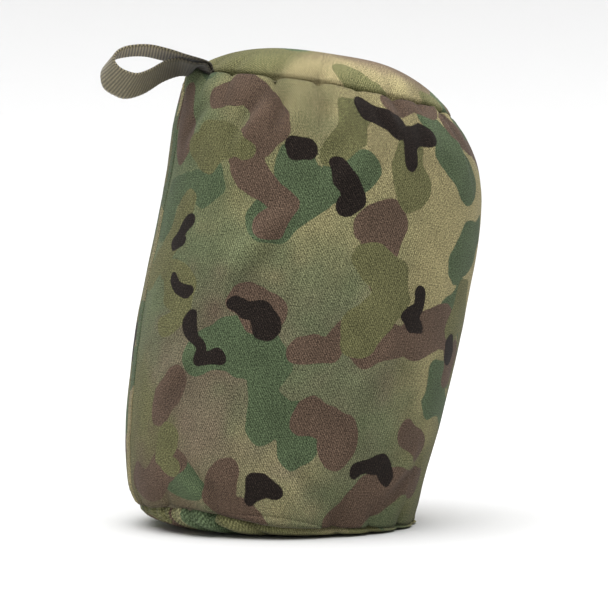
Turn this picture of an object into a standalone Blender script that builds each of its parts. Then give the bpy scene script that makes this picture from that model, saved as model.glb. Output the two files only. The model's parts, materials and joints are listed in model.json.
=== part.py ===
"""Training bumper: a stuffed fabric drum with domed ends and a webbing finger loop.

The bag is drawn upright, as sections in radius and height, and every section is swept round the
axis. One function, place(), then leans the whole bag to the right, as it slumps when it stands.
Metres, +Z up, +X to the right, the front facing -Y. The origin is the middle of the resting face.
"""

import math

import bpy
import bmesh
from mathutils import Vector

# Driving dimensions
BASE_RIM_Z = 0.0055
TOP_RIM_Z = 0.1925
REST_RADIUS = 0.040
DOME_RISE = 0.020
DOME_POWER = 2.5
BULGE_POWER = 2.2

FABRIC = 0.0010
LINING = 0.0008
TAPE = 0.0007
WEBBING = 0.0012
WEBBING_WIDTH = 0.015
THREAD_RADIUS = 0.00035
GAP = 0.00035
FILL_GAP = 0.0008

LIP_GAP = 0.0007
ALLOWANCE = 0.0080
BASE_SEAM_GAP = 0.0005
TAPE_LEG = 0.0045

LOOP_ANGLE = 208.0
LOOP_RISE = 36.0
LOOP_LIP_STEPS = 3
TACK_ZIGZAGS = 11
TACK_WIDTH = 0.0009
TACK_DROP = 0.0015
TACK_MARGIN = 2.0
TAIL_LENGTH = 0.0030
HINGE_GAP = 0.0015
ROOT_GAP = 0.0002
ROOT_LEAD = 0.006

SEAM_ANGLE = 196.0
SEAM_STRIP_WIDTH = 0.008
SEAM_ROW_OFFSET = 0.0026
SEAM_RADIUS = 0.0725
PORT_ANGLES = (256.0, 290.0)
PORT_THREAD_MARGIN = 2.0
PORT_THREAD_STEPS = 8
PORT_LIP = 0.0014
PORT_LIP_HEIGHT = 0.0040
PORT_LIP_END = 0.0012

LINING_BASE = (0.0090, 0.0570)
LINING_TOP = (0.1825, 0.0522)
LINING_OVERLAP = 0.0050
LINING_TUCK = 0.0004
LINING_REST_Z = 0.0032
LINING_RISE = 0.0255

SEGMENTS = 32
LIP_STEPS = 5
LOOP_STEPS = 5
DOME_DEGREES = (12, 26, 42, 58, 74)
BULGE_SHARES = (0.35, 0.60, 0.80, 0.93)
SHORTEST_STEP = 0.0005
SHARP_ANGLE = 40.0

# Every upright sheet bends at these heights, so that sheets lying side by side stay side by side
SHARED_HEIGHTS = (
    0.0105, 0.0135, 0.0180, 0.0250, 0.0420, 0.0660, 0.0900, 0.1140, 0.1380, 0.1580, 0.1700,
    0.1775, 0.1820, 0.1845, 0.1878,
)

# Outline of the filled bag: height of a ring, then its radius or how far it leans to +X
RADIUS_KNOTS = [
    (0.0055, 0.0630), (0.0150, 0.0665), (0.0400, 0.0700), (0.0750, 0.0725), (0.1050, 0.0730),
    (0.1500, 0.0720), (0.1700, 0.0700), (0.1850, 0.0650), (0.1925, 0.0605),
]
LEAN_KNOTS = [
    (0.0000, 0.0000), (0.0055, -0.0065), (0.0200, -0.0075), (0.0450, -0.0040), (0.1050, 0.0070),
    (0.1500, 0.0150), (0.1700, 0.0160), (0.1925, 0.0140),
]
TILT_KNOTS = [(0.0, 0.0), (0.0055, 3.7), (0.1925, 9.1)]
# The inner bag between its two ends: it clears the bound allowances at both rims
LINING_KNOTS = [
    (0.0140, 0.0570), (0.0180, 0.0600), (0.0250, 0.0640), (0.0420, 0.0668), (0.0900, 0.0698),
    (0.1380, 0.0691), (0.1580, 0.0672), (0.1700, 0.0612), (0.1775, 0.0522),
]

# The finger loop, in millimetres: its near edge from the upper root round the bend to the lower
# root, and the way the webbing faces there, from the near edge to the far edge
LOOP_STATIONS = [
    ((-45.0, -40.5, 207.5), (-5, 14, -2)),
    ((-52.0, -43.0, 209.5), (-4, 14, -3)),
    ((-60.0, -45.0, 211.0), (-4, 14, -3)),
    ((-68.0, -46.0, 210.5), (-4, 14, -3)),
    ((-73.0, -46.5, 208.5), (-5, 14, -3)),
    ((-75.0, -46.5, 205.0), (-7, 12, -5)),
    ((-73.0, -46.0, 201.5), (-8, 10, -8)),
    ((-69.0, -45.0, 199.5), (-7, 9, -9)),
    ((-65.0, -44.0, 199.0), (-6, 9, -10)),
    ((-60.0, -42.5, 201.0), (-4, 11, -10)),
    ((-54.0, -41.0, 204.5), (-2, 13, -8)),
    ((-48.0, -39.0, 206.0), (-1, 13, -6)),
    ((-41.5, -37.0, 204.5), (-3, 14, -4)),
]

MATERIALS = {
    "camo_fabric": ((0.20, 0.19, 0.11), 0.92),
    "webbing": ((0.14, 0.115, 0.075), 0.85),
    "lining_fabric": ((0.11, 0.10, 0.07), 0.80),
    "binding_tape": ((0.13, 0.11, 0.075), 0.85),
    "thread": ((0.16, 0.14, 0.09), 0.70),
    "fill_pellets": ((0.72, 0.72, 0.70), 0.50),
}


def smooth(knots):
    """A smooth curve through the knots, straight on past both ends."""
    slopes = []
    for i in range(len(knots)):
        before, after = knots[max(i - 1, 0)], knots[min(i + 1, len(knots) - 1)]
        slopes.append((after[1] - before[1]) / (after[0] - before[0]))

    def value(x):
        if x <= knots[0][0]:
            return knots[0][1] + slopes[0] * (x - knots[0][0])
        if x >= knots[-1][0]:
            return knots[-1][1] + slopes[-1] * (x - knots[-1][0])
        i = max(k for k in range(len(knots) - 1) if knots[k][0] <= x)
        (x0, y0), (x1, y1) = knots[i], knots[i + 1]
        step = x1 - x0
        t = (x - x0) / step
        return (
            (2 * t**3 - 3 * t**2 + 1) * y0
            + (t**3 - 2 * t**2 + t) * step * slopes[i]
            + (3 * t**2 - 2 * t**3) * y1
            + (t**3 - t**2) * step * slopes[i + 1]
        )

    return value


wall_radius = smooth(RADIUS_KNOTS)
wall_lean = smooth(LEAN_KNOTS)
lining_radius = smooth(LINING_KNOTS)


def tilt_at(z):
    """The slope of the ring at this height, in radians: level on the floor, steepest at the top rim."""
    for (z0, t0), (z1, t1) in zip(TILT_KNOTS, TILT_KNOTS[1:]):
        if z <= z1:
            return math.radians(t0 + (t1 - t0) * max(z - z0, 0.0) / (z1 - z0))
    return math.radians(TILT_KNOTS[-1][1])


def place(radius, z, degrees):
    """A point of the upright bag, moved to where it is in the leaning bag."""
    angle = math.radians(degrees)
    low = min(z, TOP_RIM_Z)
    tilt = tilt_at(low)
    centre = Vector((wall_lean(low), 0.0, low))
    centre += (z - low) * Vector((math.sin(tilt), 0.0, math.cos(tilt)))
    outward = Vector((math.cos(tilt), 0.0, -math.sin(tilt)))
    return centre + radius * (math.cos(angle) * outward + Vector((0.0, math.sin(angle), 0.0)))


def on_facet(radius, z, degrees):
    """As place, but on the flat facet between two of the shared angles, where a full sweep's side lies."""
    step = 360.0 / SEGMENTS
    low = math.floor(degrees / step) * step
    return place(radius, z, low).lerp(place(radius, z, low + step), (degrees - low) / step)


# Sections: lists of (radius, height) points


def heights(start, end):
    """The shared heights between two others, and those two, in order from start to end."""
    low, high = min(start, end), max(start, end)
    between = [z for z in SHARED_HEIGHTS if low + SHORTEST_STEP < z < high - SHORTEST_STEP]
    return [low, *between, high] if start < end else [high, *between[::-1], low]


def wall(start, end):
    """Points along the outer face of the bag's wall."""
    return [(wall_radius(z), z) for z in heights(start, end)]


def upright(radius, start, end):
    """Points of an upright cylinder, such as a seam allowance."""
    return [(radius, z) for z in heights(start, end)]


def arc(centre, radius, start, end, steps):
    """Points round the centre, from one angle in degrees to another."""
    angles = [math.radians(start + (end - start) * k / steps) for k in range(steps + 1)]
    return [(centre[0] + radius * math.cos(a), centre[1] + radius * math.sin(a)) for a in angles]


def dome(radius, z, rise):
    """A stuffed end, from its rim up and in to the axis: steep at the rim and nearly flat on top."""
    points = []
    for degrees in DOME_DEGREES:
        share = math.cos(math.radians(degrees))
        points.append((radius * share, z + rise * (1 - share**DOME_POWER) ** 0.5))
    return points + [(0.0, z + rise)]


def bulge(flat_radius, radius, z_low, z_high):
    """The base: flat out from the axis, then up to its rim."""
    points = [(0.0, z_low), (flat_radius, z_low)]
    for share in BULGE_SHARES:
        up = 1 - (1 - share**BULGE_POWER) ** (1 / BULGE_POWER)
        points.append((flat_radius + (radius - flat_radius) * share, z_low + (z_high - z_low) * up))
    return points


def offset(path, distance):
    """The path moved to its left by this distance."""
    moved = []
    for i, (r, z) in enumerate(path):
        turns = []
        nearby = path[max(i - 1, 0) : i + 2]
        for (r0, z0), (r1, z1) in zip(nearby, nearby[1:]):
            turns.append(Vector((z0 - z1, r1 - r0)).normalized())
        normal = sum(turns, Vector((0.0, 0.0))).normalized()
        stretch = distance / max(normal.dot(turns[0]), 0.5)
        moved.append((r + normal.x * stretch, z + normal.y * stretch))
    for end in (0, -1):
        if path[end][0] == 0.0:
            moved[end] = (0.0, moved[end][1])
    return moved


def strip(path, thickness):
    """The closed section of a sheet: the path is its right side and its body lies to the left."""
    return list(path) + offset(path, thickness)[::-1]


# Meshes


def add_object(name, bm, material):
    """One smooth-shaded node, with its folds and cut edges left sharp."""
    mesh = bpy.data.meshes.new(name)
    bmesh.ops.remove_doubles(bm, verts=bm.verts, dist=1e-6)
    bmesh.ops.recalc_face_normals(bm, faces=bm.faces)
    bm.to_mesh(mesh)
    bm.free()
    mesh.materials.append(material)
    mesh.shade_smooth()
    mesh.set_sharp_from_angle(angle=math.radians(SHARP_ANGLE))
    obj = bpy.data.objects.new(name, mesh)
    bpy.context.scene.collection.objects.link(obj)
    return obj


def bridge(bm, rings, closed, caps):
    """Faces between neighbouring rings of vertices, round to the first ring or capped at both ends."""
    pairs = list(zip(rings, rings[1:]))
    if closed:
        pairs.append((rings[-1], rings[0]))
    count = len(rings[0])
    for first, second in pairs:
        for k in range(count):
            n = (k + 1) % count
            bm.faces.new((first[k], first[n], second[n], second[k]))
    if caps:
        bm.faces.new(rings[0][::-1])
        bm.faces.new(rings[-1])


def swept(name, section, material, angles=None):
    """The section swept round the bag's axis, all the way or between two angles in degrees.

    A section that changes on the way round is a function of the share of the way.
    """
    bm = bmesh.new()
    if angles is None:
        steps = [360.0 * k / SEGMENTS for k in range(SEGMENTS)]
    else:
        shared = [360.0 * k / SEGMENTS for k in range(SEGMENTS)]
        steps = [angles[0], *[a for a in shared if angles[0] + 1 < a < angles[1] - 1], angles[1]]
    rings = []
    for degrees in steps:
        share = (degrees - steps[0]) / (steps[-1] - steps[0])
        points = section(share) if callable(section) else section
        rings.append([bm.verts.new(on_facet(r, z, degrees)) for r, z in points])
    bridge(bm, rings, closed=angles is None, caps=angles is not None)
    return add_object(name, bm, material)


def cord(name, points, radius, material, cyclic=False):
    """A round thread along the points."""
    curve = bpy.data.curves.new(name, "CURVE")
    curve.dimensions = "3D"
    curve.bevel_depth = radius
    curve.bevel_resolution = 1
    curve.use_fill_caps = True
    line = curve.splines.new("POLY")
    line.points.add(len(points) - 1)
    for point, place_at in zip(line.points, points):
        point.co = (*place_at, 1.0)
    line.use_cyclic_u = cyclic
    curve.materials.append(material)
    obj = bpy.data.objects.new(name, curve)
    bpy.context.scene.collection.objects.link(obj)
    return obj


# The pieces

LIP_RADIUS = (2 * FABRIC + LIP_GAP) / 2
SIDE_FLANGE = 2 * LIP_RADIUS
TAIL_ROOM = 2 * WEBBING + 3 * GAP
TOP_FLANGE = SIDE_FLANGE + TAIL_ROOM
BASE_FLANGE = SIDE_FLANGE + BASE_SEAM_GAP
LOW_LIP = (wall_radius(BASE_RIM_Z + LIP_RADIUS) - LIP_RADIUS, BASE_RIM_Z + LIP_RADIUS)
HIGH_LIP = (wall_radius(TOP_RIM_Z - LIP_RADIUS) - LIP_RADIUS, TOP_RIM_Z - LIP_RADIUS)
LOW_EDGE_Z = BASE_RIM_Z + ALLOWANCE
HIGH_EDGE_Z = TOP_RIM_Z - ALLOWANCE
LOW_RIM_RADIUS = LOW_LIP[0] + LIP_RADIUS
HIGH_RIM_RADIUS = HIGH_LIP[0] + LIP_RADIUS


def low_lip_arc():
    return arc(LOW_LIP, LIP_RADIUS, 180, 360, LIP_STEPS)


def high_lip_arc():
    return arc(HIGH_LIP, LIP_RADIUS, 0, 180, LIP_STEPS)


def side_panel(material):
    """The wall, with its top and bottom edges rolled in to make the seam allowances."""
    path = upright(LOW_RIM_RADIUS - SIDE_FLANGE, LOW_EDGE_Z, LOW_LIP[1])[:-1]
    path += low_lip_arc()[:-1] + wall(LOW_LIP[1], HIGH_LIP[1])[:-1] + high_lip_arc()
    path += upright(HIGH_RIM_RADIUS - SIDE_FLANGE, HIGH_LIP[1], HIGH_EDGE_Z)[1:]
    return swept("side_panel", strip(path, FABRIC), material)


def top_panel(material):
    """The domed top, its edge turned down inside the wall."""
    radius = HIGH_RIM_RADIUS - TOP_FLANGE
    path = upright(radius, HIGH_EDGE_Z, TOP_RIM_Z - FABRIC) + dome(radius, TOP_RIM_Z - FABRIC, DOME_RISE)
    return swept("top_panel", strip(path, FABRIC), material)


def base_panel(material):
    """The base that the bag stands on, its edge turned up inside the wall."""
    radius = LOW_RIM_RADIUS - BASE_FLANGE
    path = bulge(REST_RADIUS, radius, 0.0, LOW_LIP[1]) + upright(radius, LOW_LIP[1], LOW_EDGE_Z)
    return swept("base_panel", strip(path, FABRIC), material)


def binding(name, material, rim_radius, edge_z, towards_rim, inner_flange):
    """Tape folded over the cut edges of both seam allowances."""
    outer = rim_radius - SIDE_FLANGE + FABRIC + GAP + TAPE
    inner = rim_radius - inner_flange - FABRIC - GAP - TAPE
    fold = edge_z - towards_rim * GAP
    back = fold - towards_rim * TAPE
    leg = edge_z + towards_rim * TAPE_LEG
    section = upright(outer, leg, back) + upright(inner, back, leg)
    section += upright(inner + TAPE, leg, fold) + upright(outer - TAPE, fold, leg)
    return swept(name, section, material)


def side_seam_route():
    """Along the wall's upright join, from the foot of the low lip to the top of the high lip."""
    return low_lip_arc()[3:-1] + wall(LOW_LIP[1], HIGH_LIP[1])[:-1] + high_lip_arc()[:3]


def side_seam_strip(material):
    """The felled strip that covers the wall's upright join, from rim to rim."""
    half = math.degrees(SEAM_STRIP_WIDTH / 2 / SEAM_RADIUS)
    section = strip(offset(side_seam_route(), -GAP - FABRIC), FABRIC)
    return swept("side_seam_strip", section, material, (SEAM_ANGLE - half, SEAM_ANGLE + half))


def side_seam_thread(name, row_offset, material):
    """One topstitched row along the felled strip."""
    route = offset(side_seam_route()[2:-2], -(2 * GAP + FABRIC + THREAD_RADIUS))
    turn = math.degrees(row_offset / SEAM_RADIUS)
    return cord(name, [place(r, z, SEAM_ANGLE + turn) for r, z in route], THREAD_RADIUS, material)


def rim_thread(name, radius, z, material):
    """The stitching that closes a rim, on the hidden side of the allowances."""
    inside = radius - FABRIC - GAP - THREAD_RADIUS
    ring = [place(inside, z, 360.0 * k / SEGMENTS) for k in range(SEGMENTS)]
    return cord(name, ring, THREAD_RADIUS, material, cyclic=True)


def port_section(share):
    """The port's folded edge: tallest in the middle and drawn down at both ends."""
    height = PORT_LIP_END + (PORT_LIP_HEIGHT - PORT_LIP_END) * math.sin(math.pi * share)
    route = [(wall_radius(z), z) for z in (LOW_LIP[1], LOW_LIP[1] + height)]
    return strip(offset(route, -GAP - PORT_LIP), PORT_LIP)


def port_lip(material):
    """The folded edge of the filling opening, at the front of the base rim."""
    return swept("port_lip", port_section, material, PORT_ANGLES)


def port_thread(material):
    """The closing stitches along the port's folded edge."""
    z = LOW_LIP[1] + PORT_LIP_END
    radius = wall_radius(z) + 3 * GAP + PORT_LIP + THREAD_RADIUS
    start, end = PORT_ANGLES[0] + PORT_THREAD_MARGIN, PORT_ANGLES[1] - PORT_THREAD_MARGIN
    turns = [start + (end - start) * k / PORT_THREAD_STEPS for k in range(PORT_THREAD_STEPS + 1)]
    points = [on_facet(radius, z, degrees) for degrees in turns]
    return cord("port_thread", points, THREAD_RADIUS, material)


def tail_route(clear):
    """From inside the rim seam, up over the wall's rolled lip and out at the loop's own slope."""
    route = upright(HIGH_RIM_RADIUS - SIDE_FLANGE - clear, HIGH_EDGE_Z + GAP, HIGH_LIP[1])[:-1]
    route += arc(HIGH_LIP, LIP_RADIUS + clear, 180, 90 + LOOP_RISE, LOOP_LIP_STEPS)
    r, z = route[-1]
    slope = math.radians(LOOP_RISE)
    route.append((r + TAIL_LENGTH * math.cos(slope), z + TAIL_LENGTH * math.sin(slope)))
    return route


def loop_tail(name, clear, material):
    """One end of the webbing, sewn into the rim seam."""
    half = math.degrees(WEBBING_WIDTH / 2 / HIGH_RIM_RADIUS)
    section = strip(tail_route(clear), WEBBING)
    return swept(name, section, material, (LOOP_ANGLE - half, LOOP_ANGLE + half))


def loop_bar_tack(material):
    """The zigzag that ties both webbing ends to the allowances, on the hidden side."""
    half = math.degrees(WEBBING_WIDTH / 2 / HIGH_RIM_RADIUS) - TACK_MARGIN
    radius = HIGH_RIM_RADIUS - TOP_FLANGE - FABRIC - GAP - THREAD_RADIUS
    points = []
    for k in range(TACK_ZIGZAGS):
        z = HIGH_LIP[1] - TACK_DROP + TACK_WIDTH * (k % 2)
        share = 2 * k / (TACK_ZIGZAGS - 1) - 1
        points.append(on_facet(radius, z, LOOP_ANGLE + half * share))
    return cord("loop_bar_tack", points, THREAD_RADIUS, material)


def hinge_frame():
    """Where the loop bends at its root: the point, the way out, the way along the seam and the way up."""
    middle = tail_route(GAP + WEBBING + GAP / 2)
    (r0, z0), (r1, z1) = middle[-2:]
    on = HINGE_GAP / math.hypot(r1 - r0, z1 - z0)
    r, z = r1 + (r1 - r0) * on, z1 + (z1 - z0) * on
    point = on_facet(r, z, LOOP_ANGLE)
    out = (on_facet(r + r1 - r0, z + z1 - z0, LOOP_ANGLE) - point).normalized()
    along = (place(r, z, LOOP_ANGLE - 1) - place(r, z, LOOP_ANGLE + 1)).normalized()
    return point, out, along, out.cross(along).normalized()


def loop_edges():
    """The webbing's near and far edges, evenly smooth, from the upper root to the lower root."""
    point, out, along, up = hinge_frame()
    ply = (WEBBING + GAP) / 2
    root = point + out * ROOT_GAP - along * WEBBING_WIDTH / 2
    near = [root + up * ply] + [Vector(a) / 1000 for a, _ in LOOP_STATIONS] + [root - up * ply]
    ways = [along] + [Vector(w).normalized() for _, w in LOOP_STATIONS] + [along]
    near = [near[0] - out * ROOT_LEAD] + near + [near[-1] - out * ROOT_LEAD]
    ways = [ways[0]] + ways + [ways[-1]]
    rows = []
    for i in range(1, len(near) - 2):
        for k in range(LOOP_STEPS):
            t = k / LOOP_STEPS
            rows.append((catmull(near, i, t), catmull(ways, i, t).normalized()))
    rows.append((near[-2], ways[-2]))
    return rows


def catmull(points, i, t):
    """A smooth curve through the points, at share t of the way from point i to the next."""
    p0, p1, p2, p3 = points[i - 1 : i + 3]
    return 0.5 * (
        2 * p1 + (p2 - p0) * t + (2 * p0 - 5 * p1 + 4 * p2 - p3) * t * t
        + (3 * p1 - p0 - 3 * p2 + p3) * t**3
    )


def carry_loop(material):
    """The free part of the webbing, one strip from root to root."""
    rows = loop_edges()
    bm = bmesh.new()
    rings = []
    for i, (near, way) in enumerate(rows):
        ahead = rows[min(i + 1, len(rows) - 1)][0] - rows[max(i - 1, 0)][0]
        normal = ahead.cross(way).normalized() * WEBBING / 2
        far = near + way * WEBBING_WIDTH
        rings.append([bm.verts.new(p) for p in (near - normal, far - normal, far + normal, near + normal)])
    bridge(bm, rings, closed=False, caps=True)
    hinge = hinge_frame()[0]
    bmesh.ops.translate(bm, verts=bm.verts, vec=-hinge)
    obj = add_object("carry_loop", bm, material)
    obj.location = hinge
    return obj


def lining_side(material):
    """The wall of the inner bag that holds the fill."""
    (low_z, low_radius), (high_z, high_radius) = LINING_BASE, LINING_TOP
    path = upright(low_radius, low_z, low_z + LINING_OVERLAP)
    rising = heights(LINING_KNOTS[0][0], LINING_KNOTS[-1][0])[1:-1]
    path += [(lining_radius(z), z) for z in rising]
    path += upright(high_radius, high_z - LINING_OVERLAP, high_z)
    return swept("lining_side", strip(path, LINING), material)


def lining_top(material):
    """The inner bag's top, its edge tucked inside the inner wall."""
    z, radius = LINING_TOP
    radius -= LINING + LINING_TUCK
    path = upright(radius, z - LINING_OVERLAP + LINING, z) + dome(radius, z, LINING_RISE)
    return swept("lining_top", strip(path, LINING), material)


def lining_base(material):
    """The inner bag's base, its edge tucked inside the inner wall."""
    z, radius = LINING_BASE
    radius -= LINING + LINING_TUCK
    path = bulge(REST_RADIUS, radius, LINING_REST_Z, z) + upright(radius, z, z + LINING_OVERLAP - LINING)
    return swept("lining_base", strip(path, LINING), material)


def fill_pellets(material):
    """The loose fill, as one body of the shape it settles to."""
    inset = 2 * LINING + LINING_TUCK + FILL_GAP
    low_z, low_radius = LINING_BASE[0] + FILL_GAP, LINING_BASE[1] - inset
    high_z, high_radius = LINING_TOP[0] - FILL_GAP, LINING_TOP[1] - inset
    section = bulge(REST_RADIUS, low_radius, LINING_REST_Z + LINING + FILL_GAP, low_z)
    section += upright(low_radius, low_z, low_z + LINING_OVERLAP)
    rising = heights(low_z + LINING_OVERLAP, LINING_KNOTS[-1][0])[1:-1]
    section += [(lining_radius(z) - inset, z) for z in rising]
    section += upright(high_radius, high_z - LINING_OVERLAP, high_z)
    section += dome(high_radius, high_z, LINING_RISE - LINING)
    return swept("fill_pellets", section, material)


def make_materials():
    made = {}
    for name, (colour, roughness) in MATERIALS.items():
        material = bpy.data.materials.new(name)
        material.use_nodes = True
        shader = material.node_tree.nodes["Principled BSDF"]
        shader.inputs["Base Color"].default_value = (*colour, 1.0)
        shader.inputs["Roughness"].default_value = roughness
        shader.inputs["Metallic"].default_value = 0.0
        made[name] = material
    return made


def build():
    for old in list(bpy.data.objects):
        bpy.data.objects.remove(old)
    made = make_materials()
    camo, webbing, thread = made["camo_fabric"], made["webbing"], made["thread"]
    side_panel(camo)
    top_panel(camo)
    base_panel(camo)
    side_seam_strip(camo)
    port_lip(camo)
    side_seam_thread("side_seam_thread_front", SEAM_ROW_OFFSET, thread)
    side_seam_thread("side_seam_thread_back", -SEAM_ROW_OFFSET, thread)
    rim_thread("top_rim_thread", HIGH_RIM_RADIUS - TOP_FLANGE, HIGH_LIP[1] + THREAD_RADIUS, thread)
    rim_thread("base_rim_thread", LOW_RIM_RADIUS - BASE_FLANGE, LOW_LIP[1] + THREAD_RADIUS, thread)
    port_thread(thread)
    binding("top_rim_binding", made["binding_tape"], HIGH_RIM_RADIUS, HIGH_EDGE_Z, 1, TOP_FLANGE)
    binding("base_rim_binding", made["binding_tape"], LOW_RIM_RADIUS, LOW_EDGE_Z, -1, BASE_FLANGE)
    loop_tail("loop_tail_lower", GAP, webbing)
    loop_tail("loop_tail_upper", GAP + WEBBING + GAP, webbing)
    loop_bar_tack(thread)
    carry_loop(webbing)
    lining_side(made["lining_fabric"])
    lining_top(made["lining_fabric"])
    lining_base(made["lining_fabric"])
    fill_pellets(made["fill_pellets"])


build()
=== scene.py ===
"""The looks of the training bumper: a stuffed bag in camouflage cloth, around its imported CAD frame.

Every panel is a fine sheet in the bag's own shape, with the gathers and folds of its seams. Its print
is laid out in the flat cloth, in millimetres, so it stops and starts again at each seam. Lengths in
this file are millimetres, up to the point where a mesh or a light is made.
"""

import json
import math

import bpy
import numpy as np
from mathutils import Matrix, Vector

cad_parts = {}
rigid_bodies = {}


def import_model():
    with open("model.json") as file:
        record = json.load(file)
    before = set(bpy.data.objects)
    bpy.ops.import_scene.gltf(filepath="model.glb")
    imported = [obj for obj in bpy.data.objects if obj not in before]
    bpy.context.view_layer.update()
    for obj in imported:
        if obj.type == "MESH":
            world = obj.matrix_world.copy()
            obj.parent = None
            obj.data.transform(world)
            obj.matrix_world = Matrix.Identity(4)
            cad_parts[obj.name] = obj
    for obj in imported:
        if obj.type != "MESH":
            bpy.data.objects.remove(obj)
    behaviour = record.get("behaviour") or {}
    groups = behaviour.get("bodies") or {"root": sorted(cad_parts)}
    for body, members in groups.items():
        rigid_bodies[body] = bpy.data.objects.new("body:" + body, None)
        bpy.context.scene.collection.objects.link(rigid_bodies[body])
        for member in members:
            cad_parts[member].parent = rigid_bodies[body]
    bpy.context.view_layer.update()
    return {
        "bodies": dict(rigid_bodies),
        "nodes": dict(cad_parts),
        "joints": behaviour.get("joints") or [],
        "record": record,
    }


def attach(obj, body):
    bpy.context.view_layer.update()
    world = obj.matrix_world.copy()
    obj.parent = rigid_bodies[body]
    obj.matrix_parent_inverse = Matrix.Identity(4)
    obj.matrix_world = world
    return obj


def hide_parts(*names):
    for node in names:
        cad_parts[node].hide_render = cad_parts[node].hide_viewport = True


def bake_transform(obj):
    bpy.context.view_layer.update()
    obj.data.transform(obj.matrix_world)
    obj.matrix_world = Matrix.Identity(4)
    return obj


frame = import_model()
MM = 0.001

# The bag's outline: height of a ring, then its radius or how far it leans to +X
RADIUS_KNOTS = [
    (5.5, 63.0), (15.0, 66.5), (40.0, 70.0), (75.0, 72.5), (105.0, 73.0), (150.0, 72.0), (170.0, 70.0),
    (185.0, 65.0), (192.5, 60.5),
]
LEAN_KNOTS = [
    (0.0, 0.0), (5.5, -6.5), (20.0, -7.5), (45.0, -4.0), (105.0, 7.0), (150.0, 15.0), (170.0, 16.0),
    (192.5, 14.0),
]
TILT_KNOTS = [(0.0, 0.0), (5.5, 3.7), (192.5, 9.1)]
BASE_RIM_Z, TOP_RIM_Z = 5.5, 192.5
ROLL = 1.6
TOP_BULGE, DOME_RISE, DOME_POWER, DOME_ROUND = 59.7, 19.6, 2.5, 0.6
REST_RADIUS, BULGE_POWER = 40.0, 2.2
FABRIC = 0.6
# The cloth is simulated at many times its size, where the solver's forces suit it. It moves no more
# than the cap, and what is left of the solver's own noise is smoothed away.
CLOTH_SCALE, CLOTH_FRAMES, CLOTH_CAP, CLOTH_BEND, CLOTH_GAIN = 20.0, 25, 2.0, 3.0, 1.9
SKIRT = 4.0

SEAM_ANGLE, LOOP_ANGLE = 196.0, 208.0
# The radii at which angles are turned into lengths: on the wall, and at the gathered rims
WALL_ARC, RIM_ARC = 72.0, 65.0
# How far apart the points of a fine sheet lie down the wall, and over the top and base
WALL_STEP, DISC_STEP = 1.45, 1.5
WALL_COLUMNS, DISC_COLUMNS = 313, 288
SEAM_STRIP_WIDTH = 7.4
STITCH_PITCH, STITCH_LENGTH, THREAD = 2.9, 2.2, 0.18

# The camera looks level along +Y at the middle of the bag
EYE = (6.4, -850.0, 99.4)
VIEW_WIDTH = 276.3


def smooth(knots):
    """A smooth curve through the knots, as a function of an array."""
    xs, ys = np.array(knots, float).T
    slopes = np.gradient(ys, xs)
    slopes[1:-1] = (ys[2:] - ys[:-2]) / (xs[2:] - xs[:-2])

    def value(x):
        x = np.asarray(x, float)
        i = np.clip(np.searchsorted(xs, x, side="right") - 1, 0, len(xs) - 2)
        step = xs[i + 1] - xs[i]
        t = (x - xs[i]) / step
        inside = np.clip(t, 0, 1)
        curve = (
            (2 * inside**3 - 3 * inside**2 + 1) * ys[i]
            + (inside**3 - 2 * inside**2 + inside) * step * slopes[i]
            + (3 * inside**2 - 2 * inside**3) * ys[i + 1]
            + (inside**3 - inside**2) * step * slopes[i + 1]
        )
        before = np.where(t < 0, (x - xs[i]) * slopes[i], 0)
        after = np.where(t > 1, (x - xs[i + 1]) * slopes[i + 1], 0)
        return curve + (before + after)

    return value


wall_radius = smooth(RADIUS_KNOTS)
wall_lean = smooth(LEAN_KNOTS)


def tilt_at(z):
    """The slope of the ring at this height, in radians."""
    heights, degrees = zip(*TILT_KNOTS)
    return np.radians(np.interp(z, heights, degrees))


def place(radius, z, degrees):
    """Points of the upright bag, moved to where they are in the leaning bag: an array of x, y, z."""
    radius, z, angle = np.broadcast_arrays(np.asarray(radius, float), z, np.radians(degrees))
    low = np.minimum(z, TOP_RIM_Z)
    tilt = tilt_at(low)
    over = z - low
    out = radius * np.cos(angle)
    return np.stack(
        [
            wall_lean(low) + over * np.sin(tilt) + out * np.cos(tilt),
            radius * np.sin(angle),
            low + over * np.cos(tilt) - out * np.sin(tilt),
        ],
        axis=-1,
    )


def noise(x, y, seed):
    """Smooth random lumps, about -1 to 1, one to a unit."""
    x, y = np.broadcast_arrays(np.asarray(x, float), np.asarray(y, float))
    column, row = np.floor(x).astype(np.int64), np.floor(y).astype(np.int64)
    fx, fy = x - column, y - row
    sx, sy = fx * fx * (3 - 2 * fx), fy * fy * (3 - 2 * fy)

    def corner(i, j):
        h = (i * 374761393 + j * 668265263 + seed * 974634777) & 0xFFFFFFFF
        h = ((h ^ (h >> 13)) * 1274126177) & 0xFFFFFFFF
        return ((h ^ (h >> 16)) & 0xFFFF) / 32767.5 - 1.0

    top = corner(column, row) * (1 - sx) + corner(column + 1, row) * sx
    bottom = corner(column, row + 1) * (1 - sx) + corner(column + 1, row + 1) * sx
    return top * (1 - sy) + bottom * sy


def round_noise(degrees, y, lumps, seed):
    """Lumps that run round a ring and meet themselves: this many to a turn."""
    reach = lumps / (2 * math.pi)
    angle = np.radians(degrees)
    return noise(np.cos(angle) * reach + 40, np.sin(angle) * reach + y, seed)


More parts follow.
